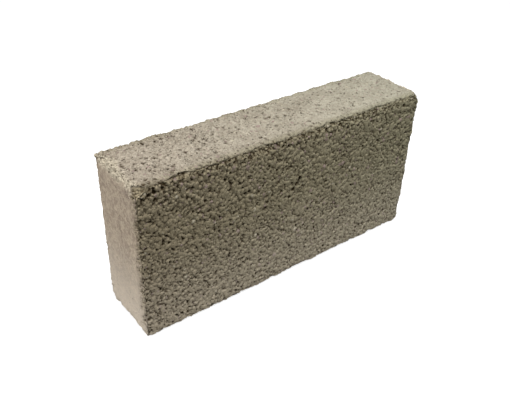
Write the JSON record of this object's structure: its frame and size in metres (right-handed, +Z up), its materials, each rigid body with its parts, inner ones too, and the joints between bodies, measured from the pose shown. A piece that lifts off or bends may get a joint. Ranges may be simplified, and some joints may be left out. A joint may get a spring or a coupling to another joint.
{
  "type": "concrete block",
  "caption": "Solid rectangular building block of pressed aggregate concrete, with open-grained long faces, flat beds to lay in mortar and worn, knocked arrises.",
  "frame": {"origin": "middle of the bottom bed, on the surface that the block stands on", "axes": "+X along the wall, the block's length; +Y back through the wall, its thickness; +Z up, its height"},
  "size_m": [0.44, 0.1, 0.215],
  "materials": {
    "concrete": "pressed semi-dry concrete, open grained on the long faces, tamped on the top bed, slurry-smooth on the ends"
  },
  "bodies": {
    "root": {"block": "concrete"}
  },
  "joints": []
}
